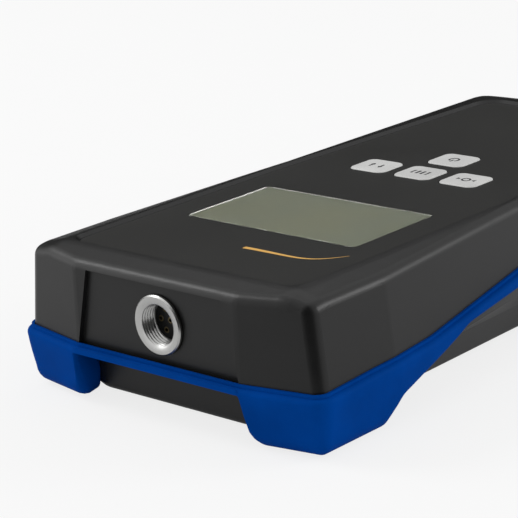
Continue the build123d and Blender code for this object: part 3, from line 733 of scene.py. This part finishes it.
class METER_OT_bumper(bpy.types.Operator):
    """Builds the rubber ring with its four feet"""

    bl_idname = "meter.bumper"
    bl_label = "Bumper"

    def execute(self, context):
        blue, sizes = context.scene.meter_colours.bumper, context.scene.meter_ring
        rubber = soft_rubber("bumper_blue", blue, level=0.008, sheen=(0.0, 0.1, 1.0))
        rings, _ = rings_of([[point * MM for point in row] for row in self.rows(sizes)])
        ring = piece_of("soft_ring", rings, rubber, "case", smooth=True)
        edges = ring.modifiers.new("edges", "EDGE_SPLIT")
        edges.split_angle = math.radians(50)
        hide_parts("bumper")
        return {"FINISHED"}

    def outline(self, out, end, waist=0.0, corner=4.2, counts=None):
        """The case's outline, set out at the sides and ends, with a fixed number of points."""
        tip, head = END_FACE + end, SIDE_FACE + out
        half = [
            (22.5, -tip), (head, 3.4 - tip), (head, -55), (head - 4.5 + waist, -1),
            (head - 5.2 + waist, tip - 3.4), (18, tip),
        ]
        radii = [6, corner, 8, 40, 8, 6]
        loop = half + [(-x, y) for x, y in reversed(half)]
        legs = eased(loop, radii + radii[::-1], ring=True)
        counts = counts or [[len(leg) for leg in legs], []]
        if not counts[1]:
            for leg, after in zip(legs, legs[1:] + legs[:1]):
                counts[1].append(max(1, round((after[0] - leg[-1]).length / LINE_STEP)))
        points = []
        for k, leg in enumerate(legs):
            arc = [leg[round(i * (len(leg) - 1) / (counts[0][k] - 1))] for i in range(counts[0][k])]
            after = legs[(k + 1) % len(legs)][0]
            run = [arc[-1].lerp(after, i / counts[1][k]) for i in range(1, counts[1][k])]
            points += arc + run
        return points, counts

    def rows(self, sizes):
        """Rows of points round the ring: lip, shoulder, side, rounded sole and back."""
        wide, counts = self.outline(1.6, 1.485)
        back = [
            (z, self.outline(out, end, waist, BACK_CORNER, counts)[0])
            for z, out, end, waist in BACK_LEVELS
        ]
        arch = SIDE_ARCH_HALF + [(-y, z) for y, z in reversed(SIDE_ARCH_HALF)]
        near_rounds = [0, ARCH_ROUND, sizes.foot_round / MM, 0]
        tops, arches, near, far = [
            sum(eased(line, rounds), [])
            for line, rounds in (
                (RING_TOP, RING_TOP_ROUNDS), (arch, SIDE_ARCH_ROUNDS),
                (NEAR_ARCH, near_rounds), (FAR_ARCH, FAR_ARCH_ROUNDS),
            )
        ]
        rows = [[] for _ in range(RING_ROWS)]
        for k, spot in enumerate(wide):
            along = (wide[(k + 1) % len(wide)] - wide[k - 1]).normalized()
            inward = Vector((-along.y, along.x))
            top = level_at(tops, spot.y)
            if abs(spot.y) < FOOT_REACH:
                low = max(0.0, level_at(arches, spot.y))
            else:
                low = level_at(far if spot.y > 0 else near, min(abs(spot.x), ARCH_END))
            self.station(sizes, rows, spot, inward, top, low, [(z, line[k]) for z, line in back])
        return rows

    def station(self, sizes, rows, spot, inward, top, low, back):
        """One section of the ring, a point for each row."""
        lip, drop, ease = sizes.lip / MM, sizes.lip_drop / MM, sizes.shoulder / MM
        wall = 1.55 + 0.1 * (top - 13.5)
        sole = 0.6 + (sizes.sole_round / MM - 0.6) * max(0.0, 1 - low / 12.2)
        section = [(wall + 0.1, top), (wall - lip, top), (wall - lip, top - drop)]
        for step in range(SHOULDER_STEPS + 1):
            turn = math.radians(90 - 90 / SHOULDER_STEPS * step)
            section.append((ease * (1 - math.cos(turn)), top - drop - ease * (1 - math.sin(turn))))
        start, stop = top - drop - ease, low + sole
        foot = self.draw_in(sizes, stop)
        for step in (1, 2, 3):
            z = start + (min(stop, start) - start) * step / 4
            section.append((self.draw_in(sizes, z), z))
        for step in range(SOLE_STEPS + 1):
            turn = math.radians(90 / SOLE_STEPS * step)
            section.append((foot + sole * (1 - math.cos(turn)), stop - sole * math.sin(turn)))
        points = [(*(spot + inward * depth), z) for depth, z in section]
        for share in (0.0, 0.33, 0.66, 0.9):
            z = low + (top - 0.6 - low) * share
            under, over = back[0], back[-1]
            for lower, upper in zip(back, back[1:]):
                if lower[0] <= z <= upper[0]:
                    under, over = lower, upper
            part = min(1.0, max(0.0, (z - under[0]) / (over[0] - under[0])))
            place = under[1].lerp(over[1], part)
            clear = min(abs(spot.x), DOOR_WAY)
            if abs(place.x) < clear:
                place.x = math.copysign(clear, place.x)
            points.append((*place, z))
        for row, point in zip(rows, points):
            row.append(Vector(point))

    def draw_in(self, sizes, z):
        """How far the ring's outer face is set in below its widest level."""
        return sizes.lean * max(0.0, WIDEST_LEVEL - z) ** DRAW_POWER


class METER_OT_front(bpy.types.Operator):
    """Finishes the printed film and lays the accent line on it"""

    bl_idname = "meter.front"
    bl_label = "Front film"

    def execute(self, context):
        colours, marks = context.scene.meter_colours, context.scene.meter_marks
        dress(printed_film("overlay_grey", colours.overlay), "front_overlay")
        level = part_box("front_overlay")[1].z
        ink = printing_ink("accent_ink", colours.accent)
        printed_mark(
            "accent_line", self.tapered_run(marks), Vector(), level, marks.thickness, ink,
            "case",
        )
        return {"FINISHED"}

    def tapered_run(self, marks, steps=20):
        """The outlines of the short pieces of a curved line that thins towards its end."""
        knots = [marks.accent_start, marks.accent_lead, marks.accent_turn, marks.accent_end]
        knots = [-Vector(knot) / MM for knot in knots]
        spots = interpolate_bezier(*knots, steps + 1)
        edges = []
        for step, spot in enumerate(spots):
            ahead = spots[min(step + 1, steps)] - spots[max(step - 1, 0)]
            half = marks.accent_width / MM / 2 * (1 - 0.9 * step / steps)
            side = Vector((-ahead.y, ahead.x)).normalized() * half
            edges.append((spot + side, spot - side))
        return [[a, b, d, c] for (a, b), (c, d) in zip(edges, edges[1:])]


class METER_OT_keys(bpy.types.Operator):
    """Finishes the four keys and prints a plain mark on each"""

    bl_idname = "meter.keys"
    bl_label = "Keys"

    def execute(self, context):
        colours, marks = context.scene.meter_colours, context.scene.meter_marks
        caps = moulded_plastic("key_grey", colours.keys, 0.42, 0.00025, 0.000006, 0.4)
        dress(caps, "key_range", "key_hold", "key_zero", "key_power")
        ink = printing_ink("key_ink", colours.ink)
        line = marks.stroke / MM
        designs = {
            "range": [
                bar(-1.4, -0.35, line, 1.5), arrow_head(-1.4, 0.35, 1.3, 1.1),
                bar(1.4, 0.35, line, 1.5), arrow_head(1.4, -0.35, 1.3, -1.1),
            ],
            "hold": [bar(-0.65, 0, line * 1.4, 2.2), bar(0.65, 0, line * 1.4, 2.2)]
            + [bar(side * 2.1, 0, line, 2.2) for side in (-1, 1)]
            + [bar(side * 1.9, tip * 0.95, 0.5, 0.3) for side in (-1, 1) for tip in (-1, 1)],
            "zero": arc_strip(0, 0, 0.95, line, 0, 360, 24)
            + [side_head(-2.5, 0, 1.0, 1.2), side_head(2.5, 0, -1.0, 1.2)],
            "power": arc_strip(0, -0.1, 1.15, line, 125, 415, 24) + [bar(0, 0.85, line, 1.5)],
        }
        for key, outlines in designs.items():
            cap = f"key_{key}"
            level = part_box(cap)[1].z
            printed_mark(
                f"{key}_mark", outlines, middle(cap), level, marks.thickness, ink,
                f"{key}_button",
            )
        return {"FINISHED"}


class METER_OT_display(bpy.types.Operator):
    """Finishes the window and the display stack below it"""

    bl_idname = "meter.display"
    bl_label = "Display"

    def execute(self, context):
        glass = clear_pane("window_clear", (0.94, 0.95, 0.92))
        pane = self.pane(*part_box("display_window"), context.scene.meter_marks, glass)
        pane.visible_shadow = False
        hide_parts("display_window")
        dress(liquid_crystal("lcd_glass", context.scene.meter_colours.display), "lcd_glass")
        dress(moulded_plastic("frame_black", (0.02, 0.02, 0.02)), "lcd_frame")
        dress(moulded_plastic("backlight_white", (0.7, 0.7, 0.68), 0.35), "lcd_backlight")
        dress(soft_rubber("zebra_rubber", (0.025, 0.025, 0.03)), "lcd_contact_strips")
        return {"FINISHED"}

    def pane(self, low, high, marks, glass):
        """The pane with round corners and eased edges, a thin film of air above the glass."""
        radius, ease = marks.pane_radius, marks.pane_ease
        outline = []
        for turn in range(4):
            across, along = (1, -1, -1, 1)[turn], (1, 1, -1, -1)[turn]
            x = (high.x if across > 0 else low.x) - across * radius
            y = (high.y if along > 0 else low.y) - along * radius
            for step in range(7):
                angle = math.radians(90 * turn + 15 * step)
                outline.append((x, y, math.cos(angle), math.sin(angle)))
        levels = [
            (low.z + marks.pane_air, radius - ease), (low.z + marks.pane_air + ease, radius),
            (high.z - ease, radius), (high.z, radius - ease),
        ]
        rows = [[(x + reach * c, y + reach * s, z) for x, y, c, s in outline] for z, reach in levels]
        shape, made = rings_of(rows, closed=False)
        shape.faces.new(made[0])
        shape.faces.new(made[-1])
        return piece_of("window_pane", shape, glass, "case")


class METER_OT_socket(bpy.types.Operator):
    """Builds the threaded socket ring and finishes what is mounted with it"""

    bl_idname = "meter.socket"
    bl_label = "Probe socket"

    def execute(self, context):
        sizes, colours = context.scene.meter_socket, context.scene.meter_colours
        low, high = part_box("probe_socket")
        centre = (low + high) / 2
        nickel = turned_metal("socket_metal", colours.socket, centre)
        rows = self.profile(sizes, low.y, high.y, (high.x - low.x) / 2)
        points = []
        count = sizes.segments
        for y, radius, groove in rows:
            points.append([])
            for step in range(count):
                turn = 2 * math.pi * step / count
                phase = ((y - low.y) / sizes.pitch + step / count) % 1.0
                reach = radius + groove * max(0.0, 1 - abs(phase - 0.5) / 0.42)
                points[-1].append((centre.x + reach * math.cos(turn), y, centre.z + reach * math.sin(turn)))
        shape, _ = rings_of(points)
        ring = piece_of("socket_ring", shape, nickel, "case", smooth=True)
        edges = ring.modifiers.new("edges", "EDGE_SPLIT")
        edges.split_angle = math.radians(38)
        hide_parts("probe_socket")
        dress(nickel, "socket_nut")
        dress(soft_rubber("seal_black", (0.015, 0.015, 0.015)), "socket_gasket")
        dress(moulded_plastic("insert_black", (0.008, 0.008, 0.008), 0.35), "socket_insert")
        dress(plated_metal("contact_gold", (0.2, 0.16, 0.09), 0.4), "socket_contacts", "board_link_pins")
        return {"FINISHED"}

    def profile(self, sizes, front, back, flange):
        """Rows of y, radius and groove depth, once round the ring's section."""
        edge = sizes.chamfer
        shelf = front + sizes.flange
        rows = [(front, sizes.bore + 0.0004, 0.0), (front, flange - edge, 0.0)]
        rows += [(front + edge, flange, 0.0), (shelf, flange, 0.0), (shelf, sizes.body, 0.0)]
        steps = round((back - shelf) / sizes.pitch * 6)
        for step in range(1, steps):
            depth = -0.0003 if 6 < step < steps - 4 else 0.0
            rows.append((shelf + (back - shelf) * step / steps, sizes.body, depth))
        rows += [(back, sizes.body, 0.0), (back, sizes.shoulder, 0.0)]
        seat_end = back - sizes.seat_end
        mouth = front + sizes.mouth
        rows += [(seat_end, sizes.shoulder, 0.0), (seat_end, sizes.seat, 0.0), (mouth, sizes.seat, 0.0)]
        steps = round(sizes.mouth / sizes.pitch * 10)
        rows.append((mouth, sizes.bore, 0.0))
        for step in range(steps - 1, 3, -1):
            fade = min(1.0, (step - 3) / 5)
            rows.append((front + sizes.mouth * step / steps, sizes.bore, sizes.groove * fade))
        rows.append((front + 0.0003, sizes.bore, 0.0))
        return rows


class METER_OT_boards(bpy.types.Operator):
    """Finishes the boards and what is soldered to them"""

    bl_idname = "meter.boards"
    bl_label = "Boards"

    def execute(self, context):
        tin = (0.62, 0.62, 0.6)
        dress(circuit_board("board_green", (0.012, 0.11, 0.035), tin), "main_board", "socket_board")
        for name in ("processor", "amplifier_chips", "buzzer"):
            dress(moulded_chip(f"{name}_black", (0.018, 0.018, 0.02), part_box(name)), name)
        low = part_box("board_capacitors")[0].z
        dress(sleeved_can("capacitor_can", tin, (0.02, 0.02, 0.06), low), "board_capacitors")
        dress(plated_metal("crystal_can", (0.6, 0.6, 0.6)), "crystal")
        dress(plated_metal("switch_metal", (0.5, 0.5, 0.5), 0.34), "key_switches")
        stems = [f"{key}_stem" for key in ("range", "hold", "zero", "power")]
        dress(moulded_plastic("stem_black", (0.02, 0.02, 0.02), 0.5), *stems)
        return {"FINISHED"}


class METER_OT_battery(bpy.types.Operator):
    """Finishes the cells and the sheet-metal contacts"""

    bl_idname = "meter.battery"
    bl_label = "Battery"

    def execute(self, context):
        for number in (1, 2, 3):
            cell = f"battery_cell_{number}"
            jacket, metal = (0.02, 0.022, 0.03), (0.7, 0.7, 0.68)
            dress(wrapped_cell(f"cell_jacket_{number}", jacket, metal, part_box(cell)), cell)
        spring = plated_metal("spring_steel", (0.62, 0.62, 0.6), 0.24)
        dress(spring, "battery_front_contacts", "battery_rear_contacts", "battery_return_strip")
        return {"FINISHED"}


class METER_OT_screws(bpy.types.Operator):
    """Finishes the screws"""

    bl_idname = "meter.screws"
    bl_label = "Screws"

    def execute(self, context):
        dress(plated_metal("screw_steel", (0.42, 0.42, 0.42), 0.3), "board_screws", "case_screws")
        return {"FINISHED"}


class METER_OT_stage(bpy.types.Operator):
    """Builds the pale floor, the soft lights, the dark card and the camera"""

    bl_idname = "meter.stage"
    bl_label = "Studio"

    def execute(self, context):
        studio = context.scene.meter_studio
        context.scene.view_settings.view_transform = "Standard"
        self.air(studio)
        self.floor()
        self.camera(context, studio)
        low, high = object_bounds()
        heart = (low + high) / 2
        self.lamp("front_box", heart + Vector((-0.65, -0.29, 0.7)), heart, 0.3, 2.4)
        self.lamp("left_box", heart + Vector((-0.7, -0.5, 0.3)), heart, 0.5, 1.0)
        self.lamp("right_box", heart + Vector((0.7, 0.6, 0.35)), heart, 0.4, 3.0)
        view = Vector(studio.camera_place) - heart
        toward = Vector((view.x, view.y, 0)).normalized()
        corner = Vector((high.x, low.y, 0))
        self.card("near_card", corner, corner + toward * 0.045, 0.052, 0.35)
        self.card("far_card", heart, heart - toward * 0.8, 1.0, 0.55)
        return {"FINISHED"}

    def air(self, studio):
        """White where it is seen or mirrored, and a soft even light otherwise."""
        world = bpy.data.worlds.new("studio_air")
        world.use_nodes = True
        bpy.context.scene.world = world
        bench = Bench(world.node_tree)
        out = world.node_tree.nodes["World Output"]
        light = {"Color": (1, 1, 1, 1), "Strength": studio.air}
        seen = self.seen(bench)
        soft = bench.node("ShaderNodeBackground", {}, light)
        white = bench.node("ShaderNodeBackground", {}, {"Color": (1, 1, 1, 1), "Strength": 1.0})
        both = bench.node("ShaderNodeMixShader", {}, {0: seen, 1: soft, 2: white})
        world.node_tree.links.new(both.socket, out.inputs["Surface"])

    def seen(self, bench, mirrored=1.0):
        """One for rays that see the backdrop, a share for mirrored ones, else nought."""
        path = bench.node("ShaderNodeLightPath", {}, {}, "Is Camera Ray")
        names = ("Is Glossy Ray", "Is Transmission Ray")
        glossy, passed = [Wire(bench, path.socket.node.outputs[name]) for name in names]
        return path | glossy * mirrored | passed

    def floor(self):
        """A pale floor that keeps a soft shadow and joins the white air."""
        reach = 3.0
        mesh = bpy.data.meshes.new("floor")
        corners = [(-reach, -reach, 0), (reach, -reach, 0), (reach, reach, 0), (-reach, reach, 0)]
        mesh.from_pydata(corners, [], [(0, 1, 2, 3)])
        floor = bpy.data.objects.new("floor", mesh)
        floor.location.z = -0.0002
        bpy.context.scene.collection.objects.link(floor)
        finish = Finish("floor_white", **{"Roughness": 0.9, "Specular_IOR_Level": 0.0})
        speck = finish.noise(0.05, 3.0)
        finish.feed("Base Color", finish.mix(speck, (0.8, 0.8, 0.8), (0.82, 0.82, 0.82)))
        glow = finish.node("ShaderNodeEmission", {}, {"Color": (1, 1, 1, 1), "Strength": 1.0})
        shader = Wire(finish, finish.shader.outputs[0])
        share = self.seen(finish, 0.3) * 0.8
        both = finish.node("ShaderNodeMixShader", {}, {0: share, 1: shader, 2: glow})
        out = finish.tree.nodes["Material Output"]
        finish.tree.links.new(both.socket, out.inputs["Surface"])
        mesh.materials.append(finish.material)
        floor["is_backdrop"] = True

    def camera(self, context, studio):
        """The camera at the photograph's angle."""
        turn, rise, roll = studio.azimuth, studio.elevation, studio.roll
        back = Vector((math.sin(turn) * math.cos(rise), -math.cos(turn) * math.cos(rise), math.sin(rise)))
        right = Vector((math.cos(turn), math.sin(turn), 0))
        up = back.cross(right)
        across = math.cos(roll) * right + math.sin(roll) * up
        upright = math.cos(roll) * up - math.sin(roll) * right
        view = Matrix((across, upright, back)).transposed().to_4x4()
        data = bpy.data.cameras.new("camera")
        data.lens, data.sensor_width = studio.lens, 36.0
        data.clip_start, data.clip_end = 0.02, 20.0
        camera = bpy.data.objects.new("camera", data)
        camera.matrix_world = Matrix.Translation(studio.camera_place) @ view
        context.scene.collection.objects.link(camera)
        context.scene.camera = camera

    def lamp(self, name, place, target, size, power):
        """A square soft box that looks at a point."""
        data = bpy.data.lights.new(name, "AREA")
        data.size, data.energy = size, power
        lamp = bpy.data.objects.new(name, data)
        lamp.location = place
        lamp.rotation_mode = "QUATERNION"
        lamp.rotation_quaternion = (target - place).to_track_quat("-Z", "Y")
        lamp.visible_camera = False
        bpy.context.scene.collection.objects.link(lamp)

    def card(self, name, heart, place, wide, tall):
        """A dark card that only the gloss of the object shows."""
        mesh = bpy.data.meshes.new(name)
        corners = [(-wide, -tall, 0), (wide, -tall, 0), (wide, tall, 0), (-wide, tall, 0)]
        mesh.from_pydata(corners, [], [(0, 1, 2, 3)])
        card = bpy.data.objects.new(name, mesh)
        card.location = place
        card.rotation_mode = "QUATERNION"
        card.rotation_quaternion = (heart.xy - place.xy).to_3d().to_track_quat("-Z", "Y")
        card.visible_camera = False
        card.visible_shadow = False
        card.visible_diffuse = False
        bpy.context.scene.collection.objects.link(card)
        finish = Finish(f"{name}_black", **{"Roughness": 0.9, "Specular_IOR_Level": 0.0})
        finish.feed("Base Color", finish.mix(finish.noise(0.05), (0.01, 0.01, 0.01), (0.014, 0.014, 0.014)))
        mesh.materials.append(finish.material)
        card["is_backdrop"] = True


OPERATORS = (
    METER_OT_stage, METER_OT_housing, METER_OT_bumper, METER_OT_front, METER_OT_keys,
    METER_OT_display, METER_OT_socket, METER_OT_boards, METER_OT_battery, METER_OT_screws,
)


class METER_PT_build(bpy.types.Panel):
    """Lists the meter's steps and settings."""

    bl_idname = "METER_PT_build"
    bl_label = "Meter"
    bl_space_type = "VIEW_3D"
    bl_region_type = "UI"
    bl_category = "Meter"

    def draw(self, context):
        for step in OPERATORS:
            self.layout.operator(step.bl_idname)
        for group in SETTINGS:
            settings = getattr(context.scene, group)
            column = self.layout.column()
            for name in settings.__annotations__:
                column.prop(settings, name)


SETTINGS = {
    "meter_colours": MeterColours,
    "meter_marks": MeterMarks,
    "meter_ring": RingSizes,
    "meter_socket": SocketSizes,
    "meter_studio": StudioSettings,
}


def register():
    for group, settings in SETTINGS.items():
        bpy.utils.register_class(settings)
        setattr(bpy.types.Scene, group, PointerProperty(type=settings))
    for step in (*OPERATORS, METER_PT_build):
        bpy.utils.register_class(step)


def unregister():
    for step in (METER_PT_build, *reversed(OPERATORS)):
        bpy.utils.unregister_class(step)
    for group, settings in SETTINGS.items():
        delattr(bpy.types.Scene, group)
        bpy.utils.unregister_class(settings)


def main():
    register()
    for step in OPERATORS:
        group, name = step.bl_idname.split(".")
        getattr(getattr(bpy.ops, group), name)()


if __name__ == "__main__":
    main()
